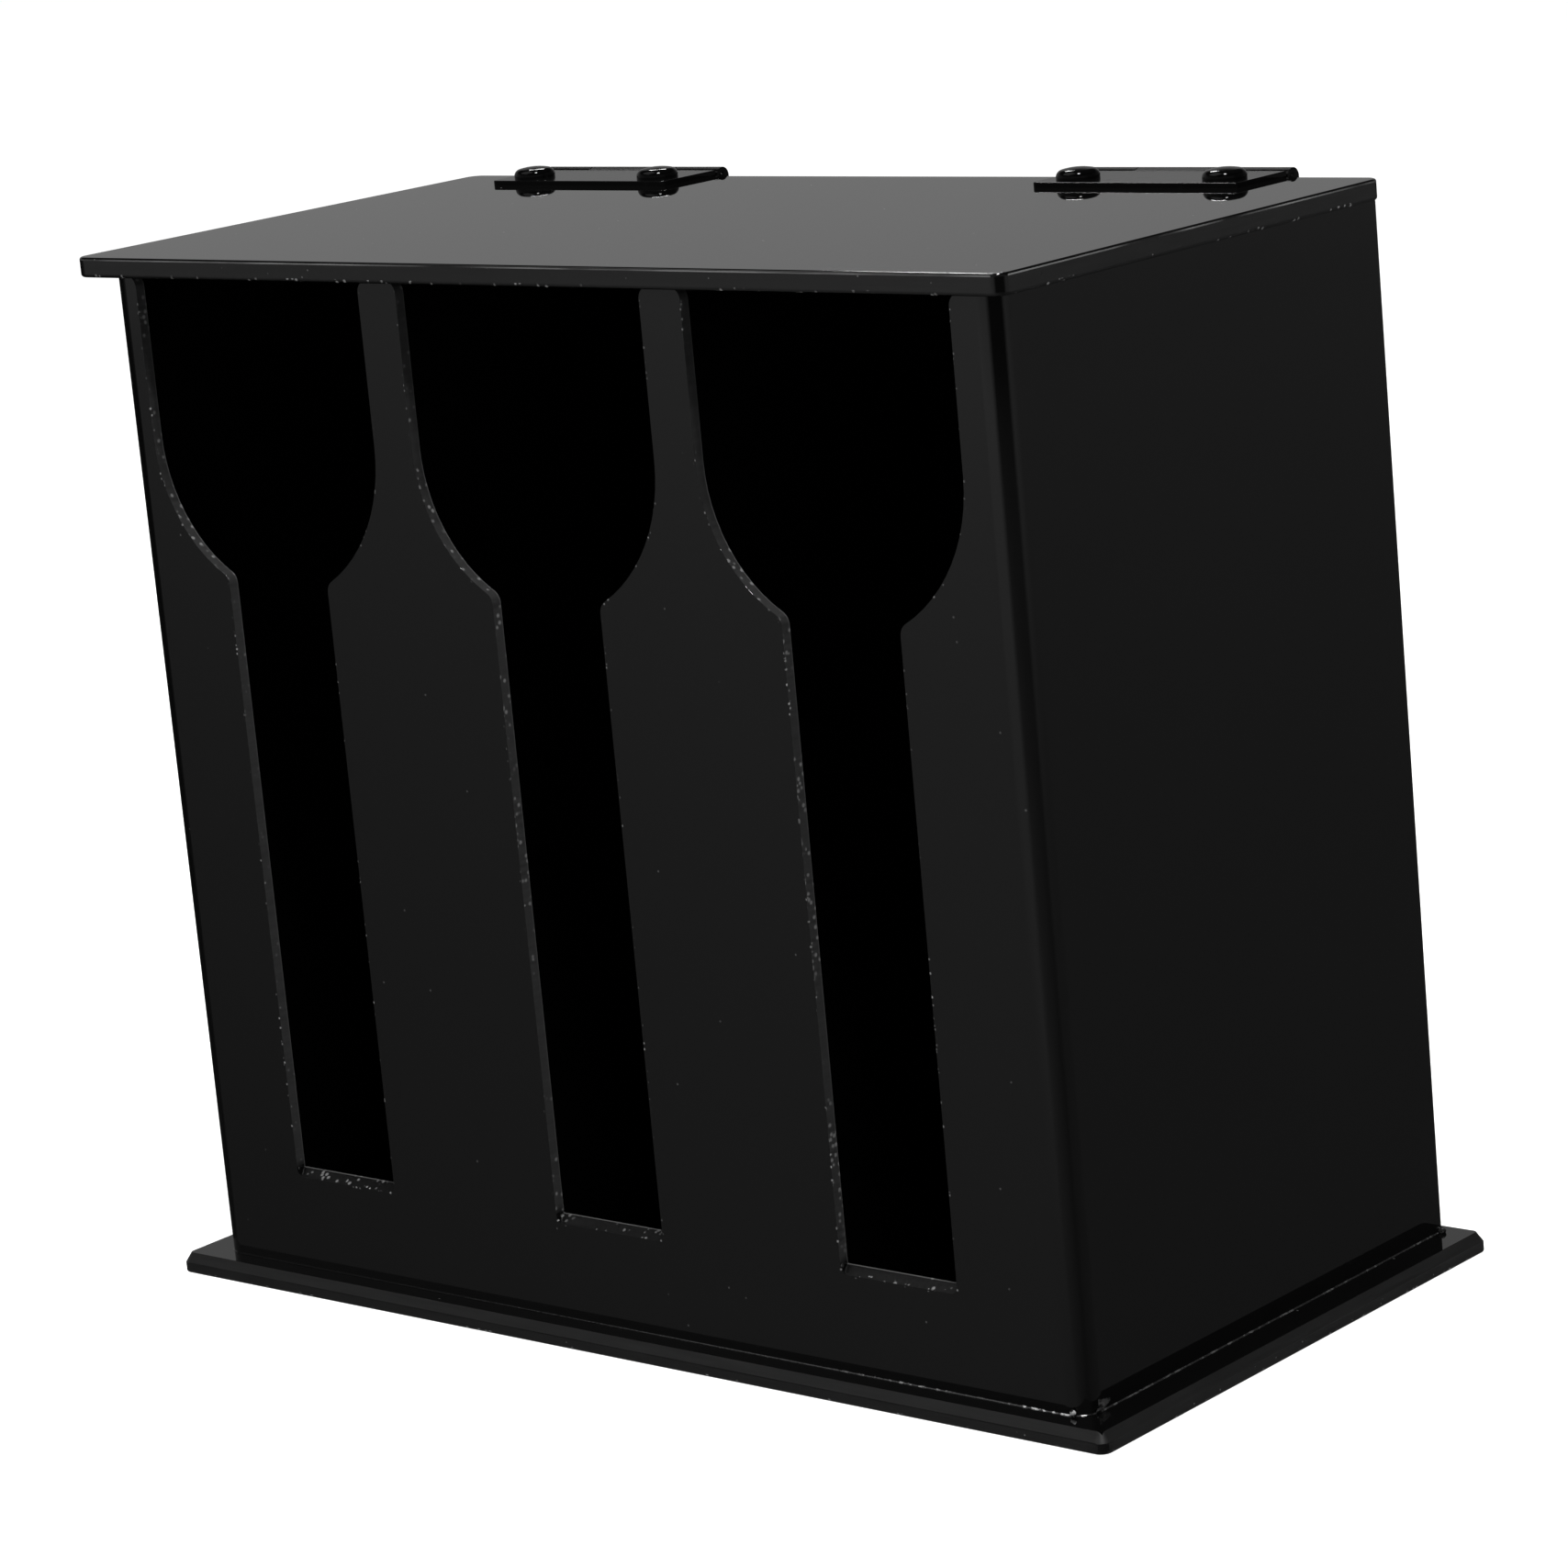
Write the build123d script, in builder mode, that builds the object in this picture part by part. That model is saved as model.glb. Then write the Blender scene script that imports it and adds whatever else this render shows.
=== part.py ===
from build123d import *
import os

os.makedirs("parts", exist_ok=True)

# Acrylic sheets: thin for the walls, thicker for the lid and the base
wall_sheet = 3.0
lid_sheet = 5.3
base_sheet = 5.3

# Body: front and sides bent from one sheet, with a flat back between the sides
body_width = 294.0
body_depth = 152.5
wall_height = 267.7
bend_inside = 3.0
wall_back_corner = 1.2

# Base plate: how far it stands out from the body, its corners and its bevelled edge
side_lip = 10.2
front_lip = 7.2
back_lip = 5.9
base_corner = 3.0
base_bevel_inset = 1.8
base_bevel_drop = 2.6
base_foot_round = 0.6

# Spoon-shaped slots: a round bowl, open at the top, over a narrow slot. The sheet was bent a little
# off its middle, so all the slots stand a little to the left
slot_count = 3
slot_margin = 11.8
slot_shift = -2.0
finger_width = 13.1
finger_round = 3.0
slot_mouth = 42.3
slot_narrow = 36.3
slot_knuckle_round = 3.5
slot_foot = 25.5
slot_foot_rise = 1.9
slot_foot_round = 2.0

# Dividers behind the fingers between the slots
divider_drop = 3.0

# Lid
lid_gap = 0.3
lid_side_overhang = 6.4
lid_front_overhang = 6.0
lid_corner = 4.0
lid_top_round = 0.7
lid_bottom_round = 0.9

# Butt hinges, one leaf on top of the lid and one down the back. The pair stands to the left, like the slots
hinge_inset = 21.15
hinge_shift = -2.0
hinge_length = 63.5
leaf_sheet = 1.3
leaf_width = 24.4
leaf_corner = 1.5
leaf_arris = 0.25
middle_knuckle = 31.0
knuckle_gap = 0.25
leaf_notch = 0.5
barrel_rise = 0.5
barrel_blend = 2.0
pin_radius = 1.15
pin_clearance = 0.05
pin_proud = 0.4
lid_barrel_gap = 2.0

# Hinge bolts with smooth domed heads, and their cap nuts
bolt_spacing = 45.4
bolt_edge = 7.95
head_radius = 5.65
head_height = 2.9
head_crown = 0.9
head_round = 1.9
shank_radius = 1.5
bolt_clearance = 0.15
nut_flats = 5.5
nut_hex = 2.4
nut_cap = 2.2
nut_cap_radius = 2.5
nut_bore = 3.4
thread_clearance = 0.05
thread_end_gap = 0.4

# Places that follow from the sizes above
base_width = body_width + 2 * side_lip
base_depth = front_lip + body_depth + back_lip
body_front = front_lip - base_depth / 2
body_back = body_front + body_depth
inside_front = body_front + wall_sheet
inside_back = body_back - wall_sheet
wall_top = base_sheet + wall_height
lid_bottom = wall_top + lid_gap
lid_top = lid_bottom + lid_sheet
barrel_radius = pin_radius + pin_clearance + leaf_sheet
axis_y = body_back + leaf_sheet - barrel_radius
axis_z = lid_top + leaf_sheet + barrel_rise - barrel_radius
lid_width = body_width + 2 * lid_side_overhang
lid_front = body_front - lid_front_overhang
lid_back = axis_y - barrel_radius - lid_barrel_gap
finger_total = (slot_count - 1) * finger_width
slot_wide = (body_width - 2 * slot_margin - finger_total) / slot_count
slot_pitch = slot_wide + finger_width
slot_centres = [slot_shift + slot_pitch * (index - (slot_count - 1) / 2) for index in range(slot_count)]
bowl_radius = slot_wide / 2
bowl_centre = wall_top - slot_mouth
foot_front = base_sheet + slot_foot
hinge_reach = body_width / 2 - hinge_inset - hinge_length / 2
hinge_centres = (hinge_shift - hinge_reach, hinge_shift + hinge_reach)
notch_reach = barrel_radius + leaf_notch
lid_leaf_free = axis_y - leaf_width
back_leaf_free = axis_z - leaf_width
bolt_hole = shank_radius + bolt_clearance
bolt_y = lid_leaf_free + bolt_edge
bolt_z = back_leaf_free + bolt_edge
front_face = Plane.XZ.offset(-body_front)


def keep(piece, name):
    """Labels a finished piece and writes it."""
    piece.part.label = name
    export_step(piece.part, f"parts/{name}.step")


# Base plate: a rectangle with round corners, a bevelled top edge and a softened foot
with BuildPart() as base_plate:
    with BuildSketch():
        RectangleRounded(base_width, base_depth, base_corner)
    extrude(amount=base_sheet)
    top_face = faces().sort_by(Axis.Z)[-1]
    chamfer(top_face.edges(), base_bevel_inset, base_bevel_drop, reference=top_face)
    fillet(faces().sort_by(Axis.Z)[0].edges(), base_foot_round)
keep(base_plate, "base_plate")

# Front and sides: the bent sheet stands on the base, then its slots are cut
with BuildPart() as front_and_sides:
    with BuildSketch(Plane.XY.offset(base_sheet)):
        with BuildLine():
            outside = FilletPolyline(
                (-body_width / 2, body_back),
                (-body_width / 2, body_front),
                (body_width / 2, body_front),
                (body_width / 2, body_back),
                radius=bend_inside + wall_sheet,
            )
            inside = FilletPolyline(
                (wall_sheet - body_width / 2, body_back),
                (wall_sheet - body_width / 2, inside_front),
                (body_width / 2 - wall_sheet, inside_front),
                (body_width / 2 - wall_sheet, body_back),
                radius=bend_inside,
            )
            Line(outside @ 0, inside @ 0)
            Line(outside @ 1, inside @ 1)
        make_face()
    extrude(amount=wall_height)
    for centre in slot_centres:
        with BuildSketch(front_face):
            with Locations((centre, bowl_centre)):
                Circle(bowl_radius)
                Rectangle(slot_wide, slot_mouth, align=(Align.CENTER, Align.MIN))
            with Locations((centre, foot_front)):
                Rectangle(slot_narrow, bowl_centre - foot_front, align=(Align.CENTER, Align.MIN))
            fillet(vertices().group_by(Axis.Y)[1], slot_knuckle_round)
            fillet(vertices().group_by(Axis.Y)[0], slot_foot_round)
        extrude(amount=-wall_sheet, mode=Mode.SUBTRACT)
        # The foot of each slot rises towards the inside
        with BuildSketch(Plane.YZ.offset(centre - slot_narrow / 2)):
            with BuildLine():
                Polyline(
                    (body_front, foot_front),
                    (inside_front, foot_front),
                    (inside_front, foot_front + slot_foot_rise),
                    close=True,
                )
            make_face()
        extrude(amount=slot_narrow)
    across_front = edges().filter_by(Axis.Y).group_by(Axis.Z)[-1]
    fillet([edge for edge in across_front if edge.length < 2 * wall_sheet], finger_round)
    back_corners = edges().filter_by(Axis.X).group_by(Axis.Z)[-1].group_by(Axis.Y)[-1]
    fillet(back_corners, wall_back_corner)
keep(front_and_sides, "front_and_sides")

# Back panel: fits between the two sides, flush with their back edges
with BuildPart() as back_panel:
    with BuildSketch(Plane.XZ.offset(-inside_back)):
        with Locations((0, base_sheet)):
            Rectangle(body_width - 2 * wall_sheet, wall_height, align=(Align.CENTER, Align.MIN))
    extrude(amount=-wall_sheet)
    with BuildSketch(Plane.XZ.offset(-inside_back)):
        for hinge_x in hinge_centres:
            with Locations((hinge_x, bolt_z)):
                with GridLocations(bolt_spacing, 0, 2, 1):
                    Circle(bolt_hole)
    extrude(amount=-wall_sheet, mode=Mode.SUBTRACT)
keep(back_panel, "back_panel")

# Dividers: from the front to the back, behind the fingers
for name, side in (("left_divider", -1), ("right_divider", 1)):
    with BuildPart() as divider:
        with BuildSketch(Plane.XY.offset(base_sheet)):
            with Locations((slot_shift + side * slot_pitch / 2, (inside_front + inside_back) / 2)):
                Rectangle(wall_sheet, inside_back - inside_front)
        extrude(amount=wall_height - divider_drop)
    keep(divider, name)

# Lid: overhangs the front and the sides, and stops short of the hinge barrels
with BuildPart() as lid:
    with BuildSketch(Plane.XY.offset(lid_bottom)):
        with Locations((0, (lid_front + lid_back) / 2)):
            RectangleRounded(lid_width, lid_back - lid_front, lid_corner)
    extrude(amount=lid_sheet)
    fillet(faces().sort_by(Axis.Z)[-1].edges(), lid_top_round)
    fillet(faces().sort_by(Axis.Z)[0].edges(), lid_bottom_round)
    with BuildSketch(Plane.XY.offset(lid_bottom)):
        for hinge_x in hinge_centres:
            with Locations((hinge_x, bolt_y)):
                with GridLocations(bolt_spacing, 0, 2, 1):
                    Circle(bolt_hole)
    extrude(amount=lid_sheet, mode=Mode.SUBTRACT)
keep(lid, "lid")


def lid_leaf(centre):
    """Leaf on top of the lid, with the middle knuckle round the pin."""
    plate_end = axis_y - notch_reach
    meeting_y = axis_y - (barrel_radius**2 - (barrel_radius - barrel_rise) ** 2) ** 0.5
    with BuildPart() as leaf:
        with BuildSketch(Plane.XY.offset(lid_top)):
            with Locations((centre, lid_leaf_free)):
                Rectangle(hinge_length, plate_end - lid_leaf_free, align=(Align.CENTER, Align.MIN))
            fillet(vertices().group_by(Axis.Y)[0], leaf_corner)
        extrude(amount=leaf_sheet)
        fillet(faces().sort_by(Axis.Z)[-1].edges().sort_by(Axis.Y)[:-1], leaf_arris)
        with BuildSketch(Plane.YZ.offset(centre - middle_knuckle / 2)):
            with Locations((axis_y, lid_top)):
                Rectangle(notch_reach, leaf_sheet, align=(Align.MAX, Align.MIN))
            with Locations((axis_y, axis_z)):
                Circle(barrel_radius)
            fillet(vertices().sort_by_distance((meeting_y, lid_top + leaf_sheet))[0], barrel_blend)
            with Locations((axis_y, axis_z)):
                Circle(pin_radius + pin_clearance, mode=Mode.SUBTRACT)
        extrude(amount=middle_knuckle)
        with BuildSketch(Plane.XY.offset(lid_top)):
            with Locations((centre, bolt_y)):
                with GridLocations(bolt_spacing, 0, 2, 1):
                    Circle(bolt_hole)
        extrude(amount=leaf_sheet, mode=Mode.SUBTRACT)
    return leaf


def back_leaf(centre):
    """Leaf down the back panel, with the two outer knuckles round the pin."""
    plate_end = axis_z - notch_reach
    end_knuckle = (hinge_length - middle_knuckle) / 2 - knuckle_gap
    back_face = Plane.XZ.offset(-body_back)
    with BuildPart() as leaf:
        with BuildSketch(back_face):
            with Locations((centre, back_leaf_free)):
                Rectangle(hinge_length, plate_end - back_leaf_free, align=(Align.CENTER, Align.MIN))
            fillet(vertices().group_by(Axis.Y)[0], leaf_corner)
        extrude(amount=-leaf_sheet)
        fillet(faces().sort_by(Axis.Y)[-1].edges().sort_by(Axis.Z)[:-1], leaf_arris)
        for start in (centre - hinge_length / 2, centre + hinge_length / 2 - end_knuckle):
            with BuildSketch(Plane.YZ.offset(start)):
                with Locations((body_back, axis_z)):
                    Rectangle(leaf_sheet, notch_reach, align=(Align.MIN, Align.MAX))
                with Locations((axis_y, axis_z)):
                    Circle(barrel_radius)
                    Circle(pin_radius + pin_clearance, mode=Mode.SUBTRACT)
            extrude(amount=end_knuckle)
        with BuildSketch(back_face):
            with Locations((centre, bolt_z)):
                with GridLocations(bolt_spacing, 0, 2, 1):
                    Circle(bolt_hole)
        extrude(amount=-leaf_sheet, mode=Mode.SUBTRACT)
    return leaf


def hinge_pin(centre):
    """Pin through all three knuckles, with softened ends."""
    with BuildPart() as pin:
        with BuildSketch(Plane.YZ.offset(centre - hinge_length / 2 - pin_proud)):
            with Locations((axis_y, axis_z)):
                Circle(pin_radius)
        extrude(amount=hinge_length + 2 * pin_proud)
        fillet(edges().filter_by(GeomType.CIRCLE), pin_proud)
    return pin


def section_of(seat):
    """Plane through a seat's axis, on which half of a turned profile is drawn."""
    return Plane(origin=seat.origin, x_dir=seat.x_dir, z_dir=seat.x_dir.cross(seat.z_dir))


def bolts(seats, grip):
    """Bolts with domed heads, each on its seat, with shanks as long as the grip needs."""
    shank_end = thread_end_gap - grip - nut_bore
    apex = (0, head_height)
    rim = (head_radius, head_height - head_crown)
    with BuildPart() as group:
        for seat in seats:
            with BuildSketch(section_of(seat)):
                with BuildLine():
                    TangentArc(apex, rim, tangent=(1, 0))
                    Polyline(
                        rim,
                        (head_radius, 0),
                        (shank_radius, 0),
                        (shank_radius, shank_end),
                        (0, shank_end),
                        apex,
                    )
                make_face()
                fillet(vertices().sort_by_distance(rim)[0], head_round)
            revolve(axis=Axis(seat.origin, seat.z_dir))
    return group


def cap_nuts(seats):
    """Hexagonal nuts with a closed dome and a blind bore."""
    with BuildPart() as group:
        for seat in seats:
            with BuildSketch(seat):
                RegularPolygon(nut_flats / 2, 6, major_radius=False)
            extrude(amount=nut_hex)
            with BuildSketch(section_of(seat)):
                with BuildLine():
                    TangentArc((0, nut_hex + nut_cap), (nut_cap_radius, nut_hex), tangent=(1, 0))
                    Polyline((nut_cap_radius, nut_hex), (0, nut_hex), (0, nut_hex + nut_cap))
                make_face()
            revolve(axis=Axis(seat.origin, seat.z_dir))
            with BuildSketch(seat):
                Circle(shank_radius + thread_clearance)
            extrude(amount=nut_bore, mode=Mode.SUBTRACT)
    return group


def seats_at(origins, outward):
    """Seat planes for a pair of bolts or nuts, facing outward."""
    return [Plane(origin=origin, x_dir=(1, 0, 0), z_dir=outward) for origin in origins]


# Hinges: both sides alike, each with two bolts and two nuts in the lid and in the back
for hand, hinge_x in zip(("left", "right"), hinge_centres):
    bolt_xs = (hinge_x - bolt_spacing / 2, hinge_x + bolt_spacing / 2)
    keep(lid_leaf(hinge_x), f"{hand}_hinge_lid_leaf")
    keep(back_leaf(hinge_x), f"{hand}_hinge_back_leaf")
    keep(hinge_pin(hinge_x), f"{hand}_hinge_pin")
    lid_heads = seats_at([(x, bolt_y, lid_top + leaf_sheet) for x in bolt_xs], (0, 0, 1))
    keep(bolts(lid_heads, leaf_sheet + lid_sheet), f"{hand}_lid_bolts")
    keep(cap_nuts(seats_at([(x, bolt_y, lid_bottom) for x in bolt_xs], (0, 0, -1))), f"{hand}_lid_nuts")
    back_heads = seats_at([(x, body_back + leaf_sheet, bolt_z) for x in bolt_xs], (0, 1, 0))
    keep(bolts(back_heads, leaf_sheet + wall_sheet), f"{hand}_back_bolts")
    keep(cap_nuts(seats_at([(x, inside_back, bolt_z) for x in bolt_xs], (0, -1, 0))), f"{hand}_back_nuts")

print("overall", base_width, base_depth, round(lid_top + leaf_sheet + head_height, 2))
print("hinge axis", round(axis_y, 3), round(axis_z, 3))
print("slots", [round(centre, 2) for centre in slot_centres], "wide", round(slot_wide, 2))
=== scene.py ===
import math

import bpy
from mathutils import Matrix, Vector


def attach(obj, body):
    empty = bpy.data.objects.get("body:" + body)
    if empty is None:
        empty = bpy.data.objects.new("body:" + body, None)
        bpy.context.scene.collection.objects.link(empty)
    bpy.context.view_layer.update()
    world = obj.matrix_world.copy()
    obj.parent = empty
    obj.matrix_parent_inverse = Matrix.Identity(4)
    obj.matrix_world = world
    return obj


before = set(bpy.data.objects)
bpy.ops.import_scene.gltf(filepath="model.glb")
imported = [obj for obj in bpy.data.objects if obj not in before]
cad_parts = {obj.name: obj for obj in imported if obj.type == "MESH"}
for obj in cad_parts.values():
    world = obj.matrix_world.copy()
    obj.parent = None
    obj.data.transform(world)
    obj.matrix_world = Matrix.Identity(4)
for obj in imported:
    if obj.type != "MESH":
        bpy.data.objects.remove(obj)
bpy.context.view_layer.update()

mm = 0.001
print("frame loaded:", len(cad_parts), "nodes")


# Camera at the photo's angle. The frame is taken as 1708 pixels square.
photoCamera = {
    "frameWidth": 1708,
    "sensorWidth": 36.0,
    "focalPixels": 5617.4,
    "yaw": -41.316,  # degrees, turned left from straight ahead
    "pitch": 12.872,  # degrees, looking down
    "roll": -5.265,  # degrees
    "place": (864.35, -978.69, 428.4),  # mm
    "clip": (0.05, 60),  # metres
}


def makeCamera(setup):
    yaw, pitch, roll = (math.radians(setup[name]) for name in ("yaw", "pitch", "roll"))
    level = Vector((math.sin(yaw), math.cos(yaw), 0))
    forward = level * math.cos(pitch) - Vector((0, 0, math.sin(pitch)))
    right = forward.cross(Vector((0, 0, 1))).normalized()
    up = right.cross(forward)
    rolledRight = right * math.cos(roll) + up * math.sin(roll)
    rolledUp = up * math.cos(roll) - right * math.sin(roll)
    data = bpy.data.cameras.new("photoCamera")
    data.sensor_width = setup["sensorWidth"]
    data.lens = setup["focalPixels"] / setup["frameWidth"] * setup["sensorWidth"]
    data.clip_start, data.clip_end = setup["clip"]
    camera = bpy.data.objects.new("photoCamera", data)
    bpy.context.scene.collection.objects.link(camera)
    turn = Matrix((rolledRight, rolledUp, -forward)).transposed().to_4x4()
    camera.matrix_world = Matrix.Translation(Vector(setup["place"]) * mm) @ turn
    bpy.context.scene.camera = camera


makeCamera(photoCamera)
print("camera placed")


# Shader sockets that can be used in Python expressions
class Wire:
    def __init__(self, tree, socket):
        self.tree = tree
        self.socket = socket

    def maths(self, operation, first, second=None, third=None):
        node = self.tree.nodes.new("ShaderNodeMath")
        node.operation = operation
        for slot, value in zip(node.inputs, (first, second, third)):
            if value is not None:
                plug(self.tree, slot, value)
        return Wire(self.tree, node.outputs[0])

    def __add__(self, other):
        return self.maths("ADD", self, other)

    def __radd__(self, other):
        return self.maths("ADD", other, self)

    def __sub__(self, other):
        return self.maths("SUBTRACT", self, other)

    def __rsub__(self, other):
        return self.maths("SUBTRACT", other, self)

    def __mul__(self, other):
        return self.maths("MULTIPLY", self, other)

    def __truediv__(self, other):
        return self.maths("DIVIDE", self, other)

    def __pow__(self, other):
        return self.maths("POWER", self, other)

    def __gt__(self, other):
        return self.maths("GREATER_THAN", self, other)

    def __lt__(self, other):
        return self.maths("LESS_THAN", self, other)

    def __abs__(self):
        return self.maths("ABSOLUTE", self)

    def clamped(self):
        return self.maths("MINIMUM", self.maths("MAXIMUM", self, 0.0), 1.0)

    def clipped(self, low, high):
        return self.maths("MINIMUM", self.maths("MAXIMUM", self, low), high)

    # 0 below low, 1 above high, straight between them
    def rising(self, low, high):
        return ((self - low) * (1 / (high - low))).clamped()


def plug(tree, slot, value):
    if isinstance(value, Wire):
        tree.links.new(value.socket, slot)
    elif isinstance(value, (int, float)) and hasattr(slot.default_value, "__len__"):
        slot.default_value = [value] * 3 + [1.0] * (len(slot.default_value) - 3)
    else:
        slot.default_value = value


# One material or world, and the only way in which other nodes are made
class Finish:
    def __init__(self, name, owner=None):
        self.owner = owner or bpy.data.materials.new(name)
        self.owner.use_nodes = True
        self.tree = self.owner.node_tree
        self.tree.nodes.clear()

    def node(self, kind, sockets=None, output=0):
        made = self.tree.nodes.new("ShaderNode" + kind)
        for name, value in (sockets or {}).items():
            plug(self.tree, made.inputs[name], value)
        return Wire(self.tree, made.outputs[output])

    # Place on the piece in metres, stretched along an axis by a scale under 1
    def place(self, scale=(1, 1, 1)):
        spot = self.node("TexCoord", output="Object")
        return self.node("Mapping", {"Vector": spot, "Scale": scale})

    def axes(self):
        spot = self.node("TexCoord", output="Object")
        return [self.node("SeparateXYZ", {"Vector": spot}, axis) for axis in "XYZ"]

    def noise(self, perMetre, detail, stretch=(1, 1, 1)):
        sockets = {"Vector": self.place(stretch), "Scale": perMetre, "Detail": detail}
        return self.node("TexNoise", sockets, "Fac")

    # Patches of noise, from 0 where it is under low to 1 where it is over high
    def patches(self, perMetre, detail, low, high, stretch=(1, 1, 1)):
        return self.noise(perMetre, detail, stretch).rising(low, high)

    # Small round specks in a share of the cells. The radius is in cells
    def specks(self, perMetre, share, radius):
        cell = {"Vector": self.place(), "Scale": perMetre}
        away = self.node("TexVoronoi", cell, "Distance")
        pick = self.node("TexVoronoi", cell, "Color")
        chance = self.node("SeparateColor", {"Color": pick}, "Red")
        return (chance < share) * (1 - away.rising(radius * 0.5, radius))

    # Mix of two colours. A Mix node keeps a socket of each name for every kind of data
    def mix(self, share, first, second):
        made = self.tree.nodes.new("ShaderNodeMix")
        made.data_type = "RGBA"
        for name, value in {"Factor": share, "A": first, "B": second}.items():
            slot = next(socket for socket in made.inputs if socket.name == name and socket.enabled)
            plug(self.tree, slot, value)
        return Wire(self.tree, next(socket for socket in made.outputs if socket.enabled))

    def maths(self, operation, *values):
        return Wire(self.tree, None).maths(operation, *values)

    def grey(self, tone):
        return self.node("CombineColor", {"Red": tone, "Green": tone, "Blue": tone})

    def bump(self, height, distance, strength=1.0, under=None):
        sockets = {"Height": height, "Distance": distance, "Strength": strength}
        if under is not None:
            sockets["Normal"] = under
        return self.node("Bump", sockets, "Normal")

    def surface(self, shader, target="OutputMaterial"):
        output = self.tree.nodes.new("ShaderNode" + target)
        self.tree.links.new(shader.socket, output.inputs["Surface"])
        return self.owner


# In the dictionaries of finishes, a tuple of noise, patches or specks holds what those functions take.
# Acrylic: black, polished like a mirror, a little wavy, with specks of dust and faint wiping marks
acrylic = {
    "colour": 0.0011,
    "mottling": (7, 2),
    "ior": 1.49,
    "roughness": 0.02,
    "waves": (11, 1),
    "waveHeight": 0.05 * mm,
    "dust": (190, 0.22, 0.07),
    "dustColour": 0.05,
    "dustRoughness": 0.4,
    "wiped": (26, 4, 0.5, 0.72, (1, 1, 0.25)),
    "wipedRoughness": 0.05,
}

# The cut slots, where the sheet is matt, ribbed and chipped
slots = {
    "front": -75.6 * mm,  # front and inside of the sheet
    "inside": -72.6 * mm,
    "reach": 140.5 * mm,  # sideways, short of the bends
    "middle": -2.0 * mm,
    "pitch": 94.5 * mm,
    "bowlRadius": 40.7 * mm,
    "bowlCentre": 230.7 * mm,
    "halfNarrow": 18.15 * mm,
    "foot": 30.8 * mm,
    "knuckle": 3.1 * mm,
    "margin": 0.02 * mm,
    "cutColour": 0.026,
    "cutRoughness": 0.45,
    "footZone": (33 * mm, 35 * mm),  # the slots' feet end here, and face up to the light
    "footShadeShare": 0.05,  # of the cut colour: painted shade on the feet, which face up to the light
    "footRoughness": 0.2,
    "lowBowlShade": ((190 * mm, 194 * mm), (222 * mm, 240 * mm)),  # the bowl's lower wall is darker, with painted shade
    "lowBowlShadeLoss": 0.45,
    "ribs": (900, 2, (1, 0.06, 1)),
    "ribTones": (0.35, 1.3),  # share of the cut colour at the bottom of a rib, and its rise
    "ribHeight": 0.03 * mm,
    "arrisHighlightColour": 0.05,
    "arrisHighlightWidth": 0.3 * mm,
    "chips": (850, 0.42, 0.34),
    "chipped": (55, 3, 0.42, 0.62),
    "chipReach": (0.1 * mm, 0.6 * mm),  # out of the slot
    "chipDepth": (0.35 * mm, 0.9 * mm),  # into the sheet
    "chipColour": 0.3,
    "chipRoughness": 0.3,
    "pits": (595, 0.5, 0.4),
    "pitted": (38, 2, 0.4, 0.5),
    "pitShare": 0.4,  # of a chip's colour
}

# Glue smeared at the foot of the right side
smear = {
    "side": 146.9 * mm,
    "top": (7 * mm, 11 * mm),
    "end": (-70 * mm, -62 * mm),
    "patches": (420, 3, 0.56, 0.64, (1, 0.5, 1)),
    "colour": 0.06,
    "roughness": 0.3,
}

# The sawn edges of the lid and the base, with scratches along them
sawn = {
    "edge": 0.15 * mm,  # how far in the edge's finish reaches
    "edgeRoughness": 0.05,
    "scratches": (1500, 2, (0.04, 0.04, 1)),
    "scratchTones": (0.4, 1.2),  # share of the edge's colour at the bottom of a scratch, and its rise
    "scratchHeight": 0.01 * mm,
    "specks": (420, 0.16, 0.12),
    "speckColour": 0.1,
    "speckRoughness": 0.3,
    "upperArrisHighlight": (30, 3, 0.35, 0.6),
    "upperArrisHighlightReach": 0.5 * mm,
    "upperArrisHighlightColour": 0.11,
    "chips": (700, 0.4, 0.4),
    "chipped": (70, 3, 0.46, 0.54),
    "chippedReach": 1.0 * mm,
    "chipColour": 0.22,
    "chippedRoughness": 0.2,
}
sawnLid = {
    "middle": (0, -5.2 * mm),
    "half": (153.4 * mm, 76.4 * mm),
    "amount": 0.4,  # of roughness and scratches
    "sideShadedColours": (0.0035, 0.0055),  # at the front and on the side, the difference being painted light and shade
    "chippedBelow": 274.3 * mm,
    "upperArrisHighlight": (277.8 * mm, 278.15 * mm),  # height of the painted highlight along the upper arris
    "bevel": None,
}
sawnBase = {
    "middle": (0, 0),
    "half": (157.2 * mm, 82.8 * mm),
    "amount": 1.0,
    # The base's edge and bevel colours differ from front to side as painted light and shade
    "sideShadedColours": (0.006, 0.009),
    "chippedBelow": 0.7 * mm,
    "upperArrisHighlight": None,
    "bevel": {"from": 2.75 * mm, "depth": 1.75 * mm, "sideShadedColours": (0.0065, 0.006), "roughness": 0.35},
}


# How far a point on the bent sheet lies outside the nearest slot's outline
def slotDistance(make, x, z):
    along = x - slots["middle"]
    nearest = make.maths("ROUND", along / slots["pitch"]).clipped(-1, 1)
    side = abs(along - nearest * slots["pitch"])
    below = make.maths("MINIMUM", z - slots["bowlCentre"], 0.0)
    bowl = make.maths("SQRT", side * side + below * below) - slots["bowlRadius"]
    neck = make.maths("MAXIMUM", side - slots["halfNarrow"], slots["foot"] - z)
    return make.maths("SMOOTH_MIN", bowl, neck, slots["knuckle"])
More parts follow.
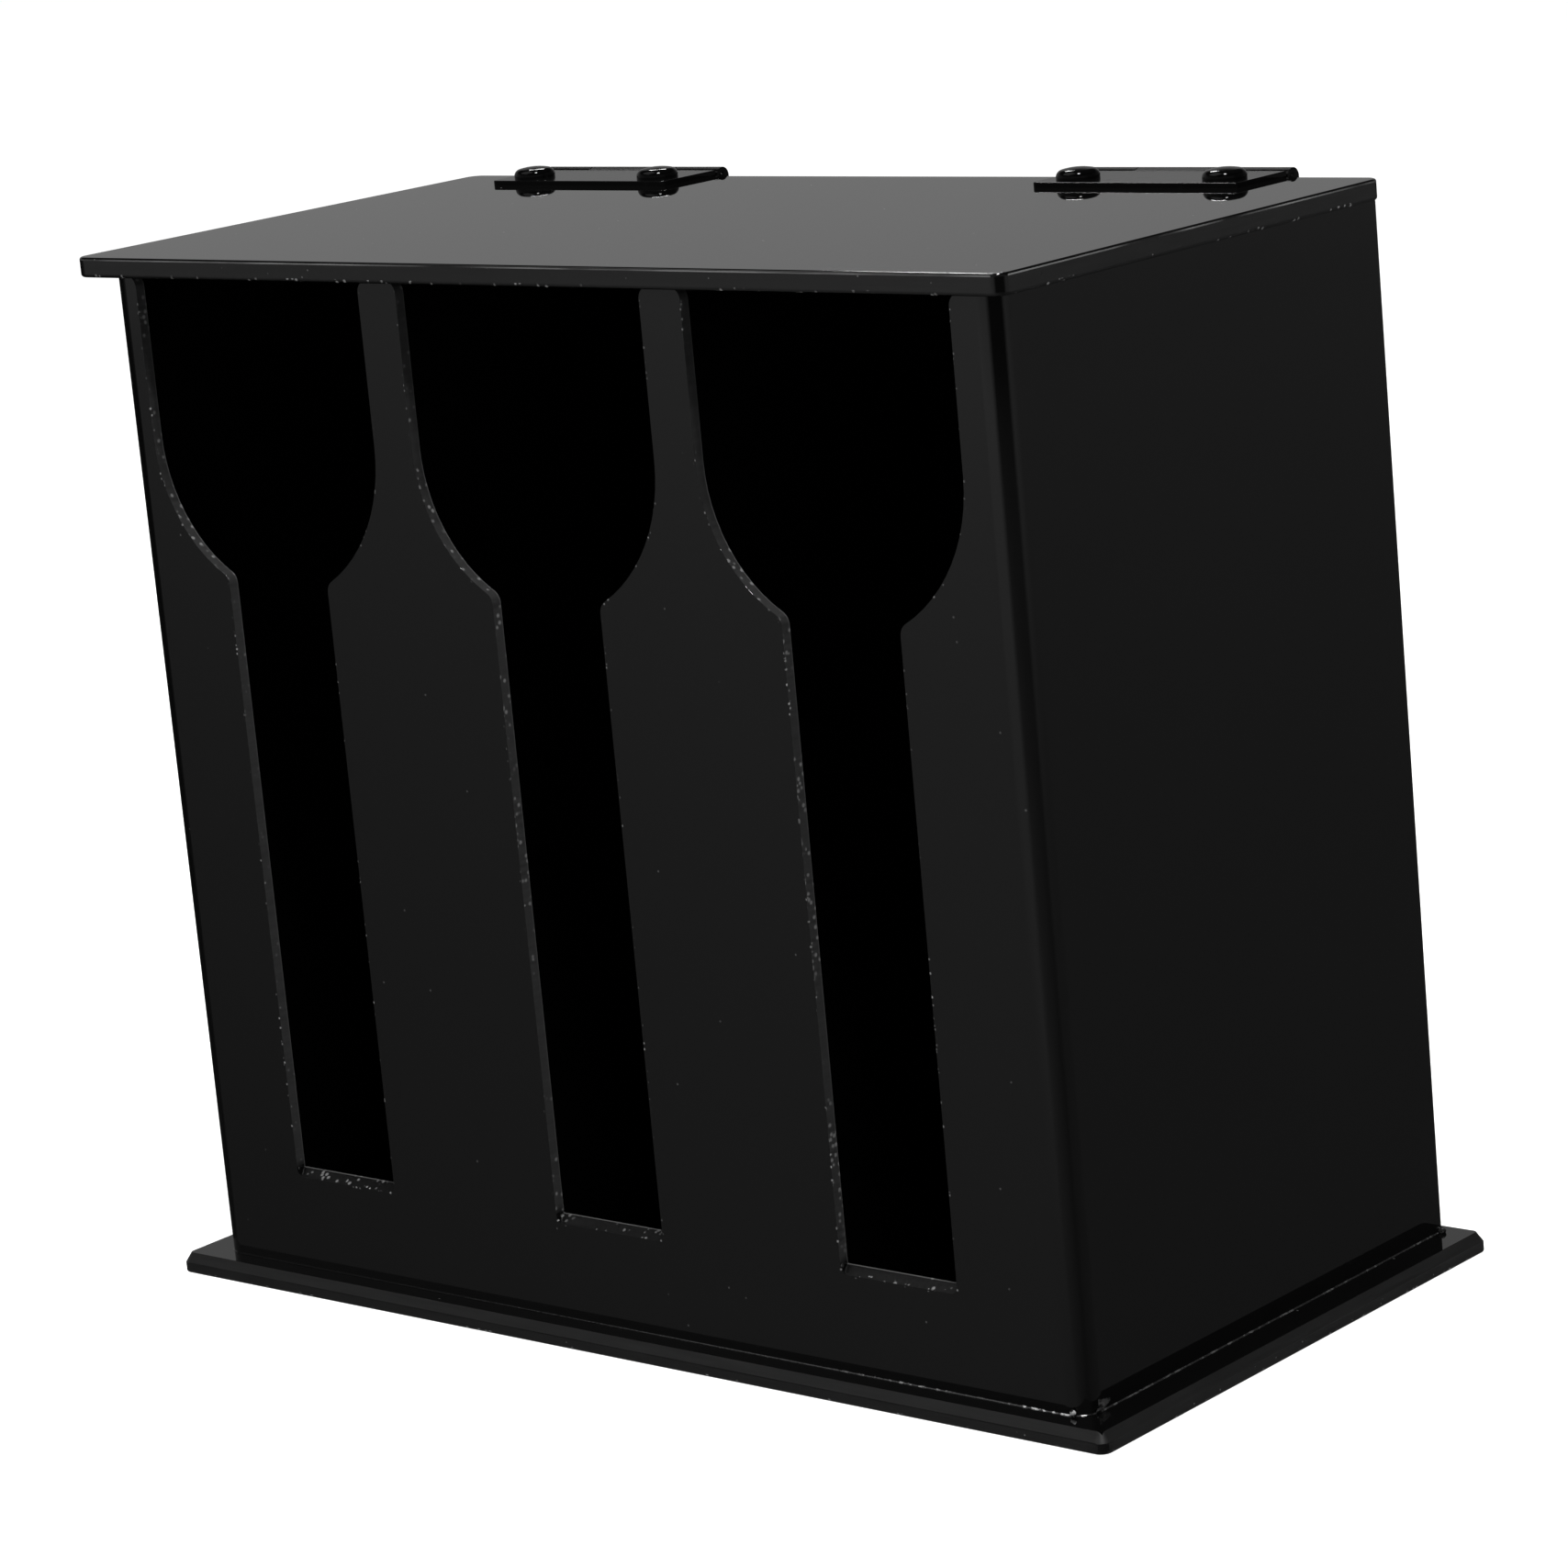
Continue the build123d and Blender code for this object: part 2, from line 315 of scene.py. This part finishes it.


# The cut walls of the slots, with chips along their front arris and a painted highlight along their
# inner arris
def cutWalls(make, axes, colour, roughness, normal):
    x, y, z = axes
    front, inside, margin = slots["front"], slots["inside"], slots["margin"]
    flat = abs(x) < slots["reach"]
    within = (y > front + margin) * (y < inside - margin) * flat
    arris = (y > inside - slots["arrisHighlightWidth"]) * (y < inside + margin) * flat
    nearOutline = 1 - slotDistance(make, x, z).rising(*slots["chipReach"])
    nearFront = 1 - (y - front).rising(*slots["chipDepth"])
    chipped = make.patches(*slots["chipped"]) * nearOutline * nearFront * flat
    chips = make.specks(*slots["chips"]) * chipped
    pits = make.specks(*slots["pits"]) * within * make.patches(*slots["pitted"])
    ribs = make.noise(*slots["ribs"])
    # Painted shade: the feet of the slots, which face up to the light, get a darker cut colour
    aboveFoot = z.rising(*slots["footZone"])
    # Painted shade: the bowl's lower wall, which faces up, gets a darker cut colour
    bowlFoot, bowlSide = slots["lowBowlShade"]
    lowBowlShade = 1 - z.rising(*bowlFoot) * (1 - z.rising(*bowlSide)) * slots["lowBowlShadeLoss"]
    share = (aboveFoot * (1 - slots["footShadeShare"]) + slots["footShadeShare"]) * lowBowlShade
    lowest, rise = slots["ribTones"]
    colour = make.mix(within, colour, make.grey((ribs * rise + lowest) * slots["cutColour"] * share))
    # Painted highlight: a pale band along the inner arris of the cut walls
    colour = make.mix(arris * within, colour, slots["arrisHighlightColour"])
    spots = make.maths("MAXIMUM", chips, pits * slots["pitShare"])
    colour = make.mix(spots, colour, slots["chipColour"])
    matt = slots["footRoughness"] + aboveFoot * (slots["cutRoughness"] - slots["footRoughness"])
    roughness = roughness + within * matt + chips * slots["chipRoughness"]
    normal = make.bump(ribs * within + chips, slots["ribHeight"], 1.0, normal)
    smeared = (x > smear["side"]) * (1 - z.rising(*smear["top"])) * (1 - y.rising(*smear["end"]))
    smears = make.patches(*smear["patches"]) * smeared
    colour = make.mix(smears, colour, smear["colour"])
    return colour, roughness + smears * smear["roughness"], normal


# A sawn and polished edge round a sheet
def sawnEdge(sheet):
    def finish(make, axes, colour, roughness, normal):
        x, y, z = axes
        outX = abs(x - sheet["middle"][0]) - sheet["half"][0]
        outY = abs(y - sheet["middle"][1]) - sheet["half"][1]
        out = make.maths("MAXIMUM", outX, outY)
        onSide = outX > outY
        edge = out > -sawn["edge"]
        amount = sheet["amount"]

        # Painted light and shade: the edge takes one colour at the front and another on the side
        def added(sideShadedColours):
            return sideShadedColours[0] + onSide * (sideShadedColours[1] - sideShadedColours[0])

        matt = edge * added(sheet["sideShadedColours"])
        worked = edge
        bevel = sheet["bevel"]
        if bevel:
            band = (out > -bevel["depth"]) * (z > bevel["from"]) * (1 - edge)
            matt = matt + band * added(bevel["sideShadedColours"])
            worked = worked + band
            roughness = roughness + band * bevel["roughness"]
        # Painted highlight: a pale line along the lid's upper arris
        if sheet["upperArrisHighlight"]:
            low, high = sheet["upperArrisHighlight"]
            upperArrisHighlight = (z > low) * (z < high) * (out > -sawn["upperArrisHighlightReach"])
            matt = matt + upperArrisHighlight * make.patches(*sawn["upperArrisHighlight"]) * sawn["upperArrisHighlightColour"]
        streaks = make.noise(*sawn["scratches"])
        lowest, rise = sawn["scratchTones"]
        colour = make.mix(worked, colour, make.grey(matt * (streaks * rise + lowest)))
        specks = make.specks(*sawn["specks"]) * edge
        colour = make.mix(specks, colour, sawn["speckColour"])
        lowArris = (z < sheet["chippedBelow"]) * (out > -sawn["chippedReach"])
        chipped = lowArris * make.patches(*sawn["chipped"])
        colour = make.mix(make.specks(*sawn["chips"]) * chipped, colour, sawn["chipColour"])
        roughness = roughness + edge * sawn["edgeRoughness"] * amount + specks * sawn["speckRoughness"]
        roughness = roughness + chipped * sawn["chippedRoughness"]
        normal = make.bump(streaks * worked, sawn["scratchHeight"] * amount, 1.0, normal)
        return colour, roughness, normal
    return finish


def acrylicFinish(name, waves=1.0, edges=None):
    make = Finish(name)
    axes = make.axes()
    dust = make.specks(*acrylic["dust"])
    wiped = make.patches(*acrylic["wiped"])
    tone = make.noise(*acrylic["mottling"]) * acrylic["colour"] + acrylic["colour"] / 2
    colour = make.mix(dust, make.grey(tone), acrylic["dustColour"])
    roughness = acrylic["roughness"] + wiped * (acrylic["wipedRoughness"] - acrylic["roughness"])
    roughness = roughness + dust * acrylic["dustRoughness"]
    normal = make.bump(make.noise(*acrylic["waves"]), acrylic["waveHeight"] * waves)
    if edges:
        colour, roughness, normal = edges(make, axes, colour, roughness, normal)
    shader = make.node("BsdfPrincipled", {
        "Base Color": colour, "Roughness": roughness, "IOR": acrylic["ior"], "Normal": normal})
    return make.surface(shader)


def wear(piece, material):
    piece.data.materials.clear()
    piece.data.materials.append(material)


# How wavy each sheet is, and how its edges are worked
acrylicPieces = {
    "front_and_sides": (1.0, cutWalls),
    "back_panel": (1.0, None),
    "left_divider": (1.0, None),
    "right_divider": (1.0, None),
    "lid": (0.6, sawnEdge(sawnLid)),
    "base_plate": (0.6, sawnEdge(sawnBase)),
}
for nodeName, (waves, edges) in acrylicPieces.items():
    wear(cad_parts[nodeName], acrylicFinish(nodeName + "_acrylic", waves, edges))
print("acrylic finished:", len(acrylicPieces), "sheets")


# Hinges and fixings: gloss black paint over metal, a little pebbled
paint = {
    "colour": 0.0009,
    "ior": 1.2,
    "boltIor": 1.22,
    "pebbles": (900, 3),
    "pebbleHeight": 0.006 * mm,
    "worn": (220, 5, 0.62, 0.8),
    "wornRoughness": 0.12,
    "dust": (500, 0.12, 0.12),
    "spotShare": 0.5,  # how much of the spot colour is added where the paint is worn or dusty
    "spotColour": 0.006,
    "knuckle": (73 * mm, 80 * mm),  # along Y, the top of the rolled sheet is left rough
    "knuckleTop": 279.95 * mm,
    "knuckleRoughness": 0.5,
}


def paintFinish(name, ior, roughness, pebbled=1.0):
    make = Finish(name)
    x, y, z = make.axes()
    front, back = paint["knuckle"]
    rolled = (y > front) * (y < back) * (z > paint["knuckleTop"])
    worn = make.patches(*paint["worn"])
    spots = (worn + make.specks(*paint["dust"])) * paint["spotShare"]
    shader = make.node("BsdfPrincipled", {
        "Base Color": make.mix(spots, paint["colour"], paint["spotColour"]),
        "Roughness": roughness + worn * paint["wornRoughness"] + rolled * paint["knuckleRoughness"],
        "IOR": ior,
        "Normal": make.bump(make.noise(*paint["pebbles"]), paint["pebbleHeight"] * pebbled)})
    return make.surface(shader)


paintOf = {
    "leaf": paintFinish("leaf_paint", paint["ior"], 0.1),
    "pin": paintFinish("pin_paint", paint["ior"], 0.14),
    "bolts": paintFinish("bolt_paint", paint["boltIor"], 0.05, 0.3),
    "nuts": paintFinish("nut_paint", paint["boltIor"], 0.16),
}
for nodeName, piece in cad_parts.items():
    kind = nodeName.split("_")[-1]
    if kind in paintOf:
        wear(piece, paintOf[kind])
print("hinges painted")


# Glue: a thin bead round the foot of the body, and drops that ran out of the joint
glue = {
    "middle": (0, 0.65 * mm, 5.3 * mm),
    "foot": (293.96 * mm, 152.46 * mm),
    "bend": 6 * mm,
    "bendSteps": 8,
    "bead": 0.32 * mm,
    "rounded": {"share": 0.9, "steps": 3, "profile": 0.2, "smoothUnder": 40},
    "drops": {  # place in mm, and size as a share of a ball of 1 mm radius
        "glue_drop_front": {"place": (143.2, -75.9, 6.2), "size": (0.8, 0.55, 1.0)},
        "glue_drop_side": {"place": (147.2, -71.0, 6.0), "size": (0.35, 1.0, 0.5)},
        "glue_drop_back": {"place": (147.5, 76.3, 5.8), "size": (1.2, 0.9, 1.0)},
    },
    "dropSteps": (24, 14),
    "lumps": {"width": 0.8 * mm, "height": 0.5 * mm},
    "sideShadedColours": (0.004, 0.012),  # at the front and on the right side, the difference being painted light and shade
    "side": 146.5 * mm,
    "pale": (420, 3, 0.52, 0.6),
    "paleRuns": (60, 2, 0.4, 0.5),
    "paleFrom": (60 * mm, 130 * mm),  # along the front the pale dots, cured glue and painted highlights, are near the right corner
    "paleLossOnSide": 0.9,
    "paleColour": 0.35,
    "paleRoughness": 0.3,
    "roughness": 0.14,
    "ior": 1.45,
    "grain": (1300, 3),
    "grainHeight": 0.05 * mm,
}


def pickVerts(piece, wanted):
    bpy.ops.object.mode_set(mode="EDIT")
    bpy.ops.mesh.select_all(action="DESELECT")
    bpy.ops.object.mode_set(mode="OBJECT")
    for vert in piece.data.vertices:
        vert.select = wanted(vert.co)
    bpy.ops.object.mode_set(mode="EDIT")
    bpy.ops.mesh.select_mode(type="VERT")


# How far a place lies outside the body's foot, whose front corners are round
def outsideFoot(spot):
    halfX, halfY = glue["foot"][0] / 2, glue["foot"][1] / 2
    middleY, bend = glue["middle"][1], glue["bend"]
    overX = abs(spot.x) - (halfX - bend)
    overY = (middleY - halfY + bend) - spot.y
    if overX > 0 and overY > 0:
        return math.hypot(overX, overY) - bend
    return max(overX - bend, overY - bend, spot.y - (middleY + halfY))


def makeBead():
    width = glue["bead"]
    bpy.ops.object.select_all(action="DESELECT")
    bpy.ops.mesh.primitive_plane_add(size=1, location=glue["middle"])
    bead = bpy.context.object
    bead.name = "glue_bead"
    bead.scale = [side + 2 * width for side in glue["foot"]] + [1]
    bpy.ops.object.transform_apply(location=True, rotation=True, scale=True)
    pickVerts(bead, lambda spot: spot.y < 0)
    bpy.ops.mesh.bevel(offset=glue["bend"] + width, segments=glue["bendSteps"], affect="VERTICES")
    bpy.ops.mesh.select_all(action="SELECT")
    bpy.ops.mesh.inset(thickness=width)
    bpy.ops.object.mode_set(mode="OBJECT")
    pickVerts(bead, lambda spot: outsideFoot(spot) < width / 2)
    bpy.ops.mesh.delete(type="FACE")
    bpy.ops.mesh.select_all(action="SELECT")
    bpy.ops.mesh.extrude_region_move(TRANSFORM_OT_translate={"value": (0, 0, width)})
    bpy.ops.object.mode_set(mode="OBJECT")
    top = glue["middle"][2] + width / 2
    pickVerts(bead, lambda spot: spot.z > top and outsideFoot(spot) > width / 2)
    rounded = glue["rounded"]
    bpy.ops.mesh.bevel(offset=width * rounded["share"], segments=rounded["steps"],
                       profile=rounded["profile"], affect="EDGES")
    bpy.ops.mesh.select_all(action="SELECT")
    bpy.ops.mesh.normals_make_consistent(inside=False)
    bpy.ops.object.mode_set(mode="OBJECT")
    bpy.ops.object.shade_smooth_by_angle(angle=math.radians(rounded["smoothUnder"]))
    return bead


def makeDrop(name, drop):
    bpy.ops.object.select_all(action="DESELECT")
    around, along = glue["dropSteps"]
    bpy.ops.mesh.primitive_uv_sphere_add(segments=around, ring_count=along, radius=mm)
    blob = bpy.context.object
    blob.name = name
    lumps = bpy.data.textures.new(name, "CLOUDS")
    lumps.noise_scale = glue["lumps"]["width"]
    uneven = blob.modifiers.new("uneven", "DISPLACE")
    uneven.texture = lumps
    uneven.strength = glue["lumps"]["height"]
    bpy.ops.object.modifier_apply(modifier="uneven")
    blob.scale = drop["size"]
    blob.location = [value * mm for value in drop["place"]]
    bpy.ops.object.transform_apply(location=True, rotation=True, scale=True)
    bpy.ops.object.shade_smooth()
    return blob


def glueFinish():
    make = Finish("glue")
    grain = make.noise(*glue["grain"])
    x, y, z = make.axes()
    onSide = x > glue["side"]
    # Pale dots: whitish cured glue, and painted highlights where the glue catches the light near the
    # front right corner
    pale = make.patches(*glue["pale"]) * make.patches(*glue["paleRuns"])
    pale = pale * x.rising(*glue["paleFrom"]) * (1 - onSide * glue["paleLossOnSide"])
    front, right = glue["sideShadedColours"]
    # Painted light and shade: the glue is darker at the front and paler on the right side
    tone = grain * 2 * (front + onSide * (right - front))
    shader = make.node("BsdfPrincipled", {
        "Base Color": make.mix(pale, make.grey(tone), glue["paleColour"]),
        "Roughness": glue["roughness"] + pale * glue["paleRoughness"],
        "IOR": glue["ior"],
        "Normal": make.bump(grain, glue["grainHeight"])})
    return make.surface(shader)


gluePaint = glueFinish()
glued = [makeBead()] + [makeDrop(name, drop) for name, drop in glue["drops"].items()]
for piece in glued:
    wear(piece, gluePaint)
    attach(piece, "case")
print("glue laid:", len(glued), "pieces, bead of", len(glued[0].data.polygons), "faces")


# Studio: pale floor and soft lamps. The camera sees the floor and the background white. Mirror rays see
# them in grey tones by place, so that the gloss shows what it shows in the photo.
studio = {
    "floorSize": 24.0,
    "floorColour": 0.49,
    "floorGrain": (40, 3),
    "grainTone": 0.02,
    "floorGlow": 0.75,  # added for the camera alone, so that the pale floor shows as white
    "frontTone": (0.121, 0.202, -0.312),  # painted light and shade of the floor in the gloss: at the middle, and its rise along X and Y
    "sideTone": (0.068, 0.106, -0.033),
    "frontRight": (0.5, 0.8),  # right of the line x = 0.5 + 0.8 y, the first tone rises no further
    "farthest": 1.6,
    "leastTone": 0.05,
    "paintedDarkSectorFrom": (0.147, -0.075),  # the corner that the painted dark sector fans out from
    "paintedDarkSectorEdges": (-84, -66, -12, 4),  # degrees
    "paintedDarkSectorTones": (0.75, 0.3, 0.37),  # at the corner, then what it loses by the middle and by the far end
    "paintedDarkSectorReach": (0.15, 0.7, 1.8),
    "besidePaintedDarkSector": (0.12, 30),  # painted paler floor next to it: tone, and degrees at which it ends
    "besideReach": (0.3, 1.5),
    "shadeFrom": (-0.147, -0.075),  # the corner that the painted shade on the floor's left fans out from
    "shadeEdges": (-152, -141),
    "shadeTone": 0.3,
    "wallTone": 0.29,
    "wallTop": (0.36, 0.5),
    "wallBehind": (0.6, 1.1),  # the wall is darker behind and to the right, by the next share
    "wallBehindLoss": 0.75,
    "darkTone": 0.02,
    "ceilingFrom": (0.62, 0.9),
    "ceilingTone": 0.05,
    "fill": 0.5,
}


def makeFloor():
    bpy.ops.object.select_all(action="DESELECT")
    bpy.ops.mesh.primitive_plane_add(size=studio["floorSize"], location=(0, 0, 0))
    floor = bpy.context.object
    floor.name = "floor"
    make = Finish("floor_card")
    x, y, z = make.axes()
    far = studio["farthest"]

    def slope(tone, right):
        across = make.maths("MINIMUM", x.clipped(-far, far), right)
        return tone[0] + across * tone[1] + y.clipped(-far, far) * tone[2]

    def bearing(corner):
        return make.maths("ARCTAN2", y - corner[1], x - corner[0]) * (180 / math.pi)

    # Painted light and shade on the floor as mirror rays see it: a slope of tones, a painted dark
    # sector, a paler band beside it and a painted shade on the left
    turn = bearing(studio["paintedDarkSectorFrom"])
    first, full, fading, last = studio["paintedDarkSectorEdges"]
    side = turn.rising(full, fading)
    paintedDarkSector = turn.rising(first, full) * (1 - turn.rising(fading, last))
    away = make.maths("SQRT", (x - studio["paintedDarkSectorFrom"][0]) ** 2 + (y - studio["paintedDarkSectorFrom"][1]) ** 2)
    near, middle, end = studio["paintedDarkSectorReach"]
    start, firstLoss, lastLoss = studio["paintedDarkSectorTones"]
    kept = start - away.rising(near, middle) * firstLoss - away.rising(middle, end) * lastLoss
    added, lastBeside = studio["besidePaintedDarkSector"]
    paler = (1 - turn.rising(fading, lastBeside)) * added * away.rising(*studio["besideReach"])
    meets, leans = studio["frontRight"]
    front = slope(studio["frontTone"], y * leans + meets)
    tone = front * (1 - side) + (slope(studio["sideTone"], far) + paler) * side
    tone = make.maths("MAXIMUM", tone, studio["leastTone"]) * (1 - paintedDarkSector * (1 - kept))
    leftTurn = bearing(studio["shadeFrom"])
    shade = (1 - leftTurn.rising(*studio["shadeEdges"]) * (leftTurn < 0)) * (x < 0)
    tone = tone * (1 - shade * (1 - studio["shadeTone"]))
    grain = make.noise(*studio["floorGrain"]) * studio["grainTone"] + studio["floorColour"]
    seen = make.node("LightPath", output="Is Camera Ray")
    mirrored = make.node("LightPath", output="Is Glossy Ray")
    card = make.node("BsdfDiffuse", {"Color": make.grey(grain)})
    glow = make.node("Emission", {"Color": 1.0, "Strength": seen * studio["floorGlow"]})
    plain = make.node("AddShader", {0: card, 1: glow})
    # The floor glows with these painted tones for mirror rays alone
    shown = make.node("Emission", {"Color": 1.0, "Strength": tone})
    both = make.node("MixShader", {0: mirrored, 1: plain, 2: shown})
    floor.data.materials.append(make.surface(both))


def makeWorld():
    world = bpy.data.worlds.new("studio")
    bpy.context.scene.world = world
    make = Finish("studio", world)
    way = make.node("TexCoord", output="Generated")
    across, along, height = [make.node("SeparateXYZ", {"Vector": way}, axis) for axis in "XYZ"]
    behind = (across + along).rising(*studio["wallBehind"]) * studio["wallBehindLoss"]
    wall = (1 - height.rising(*studio["wallTop"])) * (1 - behind)
    ceiling = height.rising(*studio["ceilingFrom"])
    mirrored = studio["darkTone"] + wall * (studio["wallTone"] - studio["darkTone"])
    mirrored = mirrored + ceiling * (studio["ceilingTone"] - studio["darkTone"])
    seen = make.node("LightPath", output="Is Camera Ray")
    glossy = make.node("LightPath", output="Is Glossy Ray")
    tone = studio["fill"] + glossy * (mirrored - studio["fill"])
    tone = tone + seen * (1 - tone)
    sky = make.node("Background", {"Color": make.grey(tone), "Strength": 1.0})
    make.surface(sky, "OutputWorld")


def areaLamp(name, place, aim, size, power):
    data = bpy.data.lights.new(name, "AREA")
    data.shape = "RECTANGLE"
    data.size, data.size_y = size
    data.energy = power
    lamp = bpy.data.objects.new(name, data)
    bpy.context.scene.collection.objects.link(lamp)
    lamp.location = place
    lamp.rotation_euler = (Vector(aim) - Vector(place)).to_track_quat("-Z", "Y").to_euler()


lamps = {
    "leftLamp": {"place": (-0.65, -0.7, 1.9), "aim": (0, 0, 0.15), "size": (1.4, 1.4), "power": 8},
    "backLamp": {"place": (-0.92, 1.06, 1.4), "aim": (0, 0, 0.28), "size": (0.5, 0.13), "power": 11},
    "dotLamp": {"place": (0.5, -0.35, 1.6), "aim": (0, 0, 0.2), "size": (0.22, 0.22), "power": 28},
}
makeFloor()
makeWorld()
for lampName, lamp in lamps.items():
    areaLamp(lampName, lamp["place"], lamp["aim"], lamp["size"], lamp["power"])
bpy.context.scene.view_settings.view_transform = "Standard"
print("studio lit")
